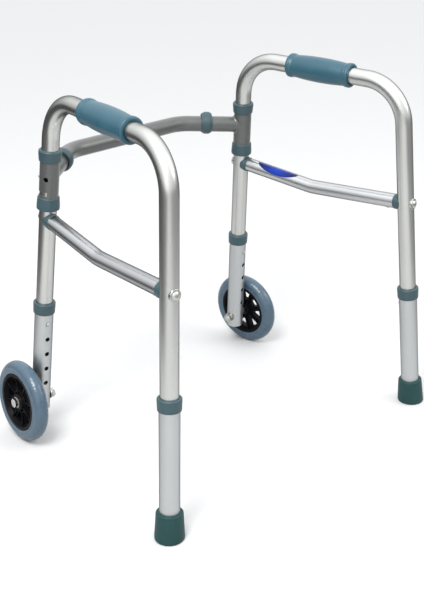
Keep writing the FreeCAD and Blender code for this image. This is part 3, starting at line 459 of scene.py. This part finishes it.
def make_ribs(side, middle, axis, body):
    """A thin rib along each spoke, on both faces of the wheel, and a ring that joins them."""
    across, other = around(axis)
    phase = opening_phase(side, middle, axis)
    shape = bmesh.new()
    for face in (1, -1):
        for spoke in range(SPOKES):
            angle = phase + math.tau * (spoke + 0.5) / SPOKES
            add_rib(shape, middle, axis, across * math.cos(angle) + other * math.sin(angle), face)
    edges = [edge for edge in shape.edges if edge.calc_length() > 1.5 * MM]
    bmesh.ops.bevel(shape, geom=edges, offset=0.3 * MM, segments=2, affect="EDGES", clamp_overlap=True)
    for face in (1, -1):
        ring = softened([(radius * MM, height * MM * face) for radius, height in HUB_RING], 0.4 * MM)
        turn_outline(shape, ring, middle, axis)
    add_piece(side + "_wheel_ribs", shape, side + "_wheel_rim", body)


# ---------------------------------------------------------------- grips


FLANGE_LENGTH = 10.5 * MM
GRIP_MARGIN = 0.2 * MM  # keeps the moulded line inside the CAD grip
BELLY_STEPS = 12


def make_grip(side):
    """A moulded grip: rolled flanges with a fine groove, a swollen middle and two mould lines."""
    node = side + "_grip"
    points = node_points(node)
    middle, axis = long_axis(points)
    heights, widths = reach(points, middle, axis)
    low, high, bore, widest = heights.min(), heights.max(), widths.min(), widths.max() - GRIP_MARGIN
    middle, half = middle + axis * ((low + high) / 2), (high - low) / 2
    flange, neck = widest - 0.7 * MM, widest - 2.3 * MM
    end = [(bore, half - 1.2 * MM), (bore + 0.9 * MM, half - 0.2 * MM), (flange - 2.6 * MM, half),
           (flange - 0.4 * MM, half - 1.2 * MM), (flange, half - 3.2 * MM), (flange, half - 5.2 * MM),
           (flange - 0.7 * MM, half - 6.4 * MM), (flange - 0.2 * MM, half - 7.4 * MM),
           (neck, half - FLANGE_LENGTH)]
    inside = half - FLANGE_LENGTH
    belly = [(neck + (widest - neck) * (1 - (step / BELLY_STEPS) ** 2), -inside * step / BELLY_STEPS)
             for step in range(1 - BELLY_STEPS, BELLY_STEPS)]
    outline = softened(end + belly + [(radius, -height) for radius, height in reversed(end)], 1.0 * MM)
    across, other = around(axis)
    top = math.atan2(UP.dot(other), UP.dot(across))

    def mould_line(angle, index, radius, height):
        if radius < bore + 3 * MM:
            return radius
        off = min(abs((angle - top - turn + math.pi) % math.tau - math.pi)
                  for turn in (math.pi / 2, -math.pi / 2))
        return min(widest, radius - 0.05 * MM + 0.22 * MM * math.exp(-(off * radius / (0.45 * MM)) ** 2))

    shape = bmesh.new()
    turn_outline(shape, outline, middle, axis, turns=288, change=mould_line)
    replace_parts(add_piece(side + "_moulded_grip", shape, node, side + "_side_frame"), node)


# ---------------------------------------------------------------- screws of the braces


SHANK_RADIUS = 3.0 * MM
LONGEST_RIVET = 20 * MM
DOME_STEPS = 8


def dome_outline(rise, head, start=0.0):
    """A shallow dome from its start radius out to the edge of the head."""
    ball = (head ** 2 + rise ** 2) / (2 * rise)
    radii = [start + (head - start) * step / DOME_STEPS for step in range(DOME_STEPS + 1)]
    return [(radius, ball - math.sqrt(ball ** 2 - radius ** 2)) for radius in radii]


def socket_screw(shape, top, way, head, shank, length):
    """A domed screw with a hexagon socket. way points from its top into the tube."""
    rise, cheek = 2.6 * MM, 0.8 * MM
    socket, depth = 2.1 * MM, 2.0 * MM
    dome = dome_outline(rise, head, socket * 1.3)
    foot = rise + cheek
    outline = [(0.0, depth), (socket, depth), (socket, dome[0][1] + 0.2 * MM)] + dome
    outline += [(head, foot), (shank, foot), (shank, length), (0.0, length)]

    def six_sided(angle, index, radius, height):
        if index not in (1, 2):
            return radius
        return radius / math.cos((angle + math.pi / 6) % (math.pi / 3) - math.pi / 6)

    turn_outline(shape, outline, top, way, closed=False, turns=72, change=six_sided)


def pan_rivet(shape, top, way, head, length):
    """A low domed rivet. way points from its top into the tube."""
    rise, foot = 1.1 * MM, 1.45 * MM
    outline = dome_outline(rise, head) + [(head, foot), (head / 2, foot), (head / 2, length), (0.0, length)]
    turn_outline(shape, outline, top, way, closed=False, turns=48)


def make_screws(side):
    """The brace's two socket screws and the rivet that plugs the hole below."""
    node = side + "_brace_screws"
    shape = bmesh.new()
    for points in islands(node):
        middle, axis = long_axis(points)
        heights, widths = reach(points, middle, axis)
        head_height = heights[widths.argmax()]
        if head_height < (heights.min() + heights.max()) / 2:
            axis, heights = -axis, -heights
        top, length = middle + axis * heights.max(), heights.max() - heights.min()
        if length > LONGEST_RIVET:
            socket_screw(shape, top, -axis, widths.max(), SHANK_RADIUS, length)
        else:
            pan_rivet(shape, top, -axis, widths.max(), length)
    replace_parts(add_piece(side + "_socket_screws", shape, node, side + "_side_frame"), node)


# ---------------------------------------------------------------- spring buttons

BUTTONS = ("fold_button", "front_leg_button", "rear_leg_button")


def make_button(side, button):
    """The spring strip and its button, copied unchanged from the CAD node into a piece on no body. On the real
    strip one arm goes in with the button and the other stays against the tube.
    """
    node, joint = side + "_" + button, JOINTS[side + "_" + button + "_press"]
    shape = bmesh.new()
    shape.from_mesh(frame["nodes"][node].data)
    piece = add_piece(node + "_strip", shape, node, None)
    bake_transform(piece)
    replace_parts(piece, node)


for side in SIDES:
    make_wheel(side)
    make_grip(side)
    make_screws(side)
    for button in BUTTONS:
        make_button(side, button)

# ---------------------------------------------------------------- floor and light


STAGE_SIZE = 30.0


def stage_plane(name, height, material):
    """A wide level plane that isn't part of the object."""
    mesh = bpy.data.meshes.new(name)
    shape = bmesh.new()
    bmesh.ops.create_grid(shape, x_segments=4, y_segments=4, size=STAGE_SIZE)
    shape.to_mesh(mesh)
    shape.free()
    mesh.materials.append(material)
    plane = bpy.data.objects.new(name, mesh)
    plane.location.z = height
    bpy.context.scene.collection.objects.link(plane)
    return plane


def make_floor():
    """A plain pale sheet."""
    paint = Paint("pale_floor", Roughness=0.8, Specular_IOR_Level=0.1)
    grain = paint.noise(60.0, 4.0)
    paint.colour(paint.mix(grain, rgb(0.475, 0.476, 0.477), rgb(0.485, 0.486, 0.487)))
    stage_plane("floor", 0.0, paint.material)


SHEET_EDGE = (0.65, 1.05)  # metres from the middle, where the pale sheet starts and stops to fade
SHEET_SPREAD = 0.3  # how fast the sheet widens away from the camera


def make_reflected_dark_sheet():
    """A dark sheet just above the floor, seen only in the metal's reflections: a painted reflection of a dark
    studio beyond the pale sheet, left and right. Nothing else sees it.
    """
    paint = Paint("reflected_dark_sheet", Roughness=0.8, Specular_IOR_Level=0.1)
    right, _, ahead = camera_axes()

    def along(way):
        made = paint.node("ShaderNodeVectorMath", {"operation": "DOT_PRODUCT"})
        paint.feed(made.inputs[0], paint.place)
        paint.feed(made.inputs[1], (way.x, way.y, 0))
        return made.outputs["Value"]

    wider = paint.math("MULTIPLY", paint.math("MAXIMUM", along(ahead), 0.0), SHEET_SPREAD)
    away = paint.math("SUBTRACT", paint.math("ABSOLUTE", along(right)), wider)
    paint.feed(paint.shader.inputs["Alpha"], paint.spread(away, *SHEET_EDGE))
    # painted reflection: the sheet is darker on the camera's left than on its right
    paint.colour(paint.mix(paint.spread(along(right), -0.1, 0.1), rgb(0.04, 0.04, 0.04),
                           rgb(0.18, 0.18, 0.18)))
    plane = stage_plane("reflected_dark_sheet", 1.0 * MM, paint.material)
    plane.visible_camera = plane.visible_diffuse = plane.visible_shadow = False


SKY = rgb(1.0, 1.01, 1.02)
WORLD_STRENGTH = 2.0
# Place round the room (0.25 is the camera's left, 0.5 is behind it) and brightness there.
WORLD_BANDS = ((0.0, 0.60), (0.10, 0.35), (0.24, 0.22), (0.36, 0.50), (0.44, 1.10), (0.50, 0.85),
               (0.58, 0.55), (0.68, 0.38), (0.82, 0.35), (1.0, 0.60))


def band_colour(tree, sideways, backwards):
    """The colour ramp round the room, from how far a direction points sideways and backwards."""
    turn = tree.nodes.new("ShaderNodeMath")
    turn.operation = "ARCTAN2"
    tree.links.new(sideways, turn.inputs[0])
    tree.links.new(backwards, turn.inputs[1])
    spread = tree.nodes.new("ShaderNodeMapRange")
    spread.inputs["From Min"].default_value = -math.pi
    spread.inputs["From Max"].default_value = math.pi
    tree.links.new(turn.outputs[0], spread.inputs["Value"])
    ramp = tree.nodes.new("ShaderNodeValToRGB")
    ramp.color_ramp.interpolation = "EASE"
    for number, (place, light) in enumerate(WORLD_BANDS):
        stop = ramp.color_ramp.elements[number] if number < 2 else ramp.color_ramp.elements.new(place)
        stop.position, stop.color = place, rgb(light, light, light)
    tree.links.new(spread.outputs["Result"], ramp.inputs["Fac"])
    return ramp.outputs["Color"]


def make_world():
    """A soft room: bright behind the camera and to its left, darker at the sides."""
    world = bpy.data.worlds.new("studio")
    world.use_nodes = True
    bpy.context.scene.world = world
    tree = world.node_tree
    right, _, ahead = camera_axes()
    back = Vector((-ahead.x, -ahead.y, 0)).normalized()
    side = Vector((right.x, right.y, 0)).normalized()
    way = tree.nodes.new("ShaderNodeTexCoord").outputs["Generated"]

    def along(direction):
        made = tree.nodes.new("ShaderNodeVectorMath")
        made.operation = "DOT_PRODUCT"
        tree.links.new(way, made.inputs[0])
        made.inputs[1].default_value = direction
        return made.outputs["Value"]

    lift = tree.nodes.new("ShaderNodeMapRange")
    lift.inputs["From Min"].default_value = 0.0
    lift.inputs["From Max"].default_value = 0.9
    lift.inputs["To Min"].default_value = 0.0
    tree.links.new(along(UP), lift.inputs["Value"])
    blend = tree.nodes.new("ShaderNodeMix")
    blend.data_type = "RGBA"
    tree.links.new(lift.outputs["Result"], blend.inputs[0])
    tree.links.new(band_colour(tree, along(side), along(back)), blend.inputs[6])
    blend.inputs[7].default_value = SKY
    tree.links.new(blend.outputs[2], tree.nodes["Background"].inputs["Color"])
    tree.nodes["Background"].inputs["Strength"].default_value = WORLD_STRENGTH


def soft_box(name, spot, aim, size, power, tint=(1, 1, 1)):
    """A round soft light at one spot, aimed at another."""
    data = bpy.data.lights.new(name, "AREA")
    data.shape, data.size, data.energy, data.color = "DISK", size, power, tint
    lamp = bpy.data.objects.new(name, data)
    way = Vector(aim) - Vector(spot)
    lamp.rotation_euler = way.to_track_quat("-Z", "Y").to_euler()
    lamp.location = spot
    bpy.context.scene.collection.objects.link(lamp)


def make_light():
    """The room, a key light at the camera's left and a softer fill at its right."""
    make_world()
    soft_box("key", (-1.3, -0.6, 2.1), (0, 0, 0.3), 0.9, 50.0)
    soft_box("fill", (1.2, -1.6, 1.6), (0, 0, 0.3), 1.4, 16.0, (1.0, 0.98, 0.95))


make_floor()
make_reflected_dark_sheet()
make_light()
bpy.context.scene.view_settings.view_transform = "Standard"
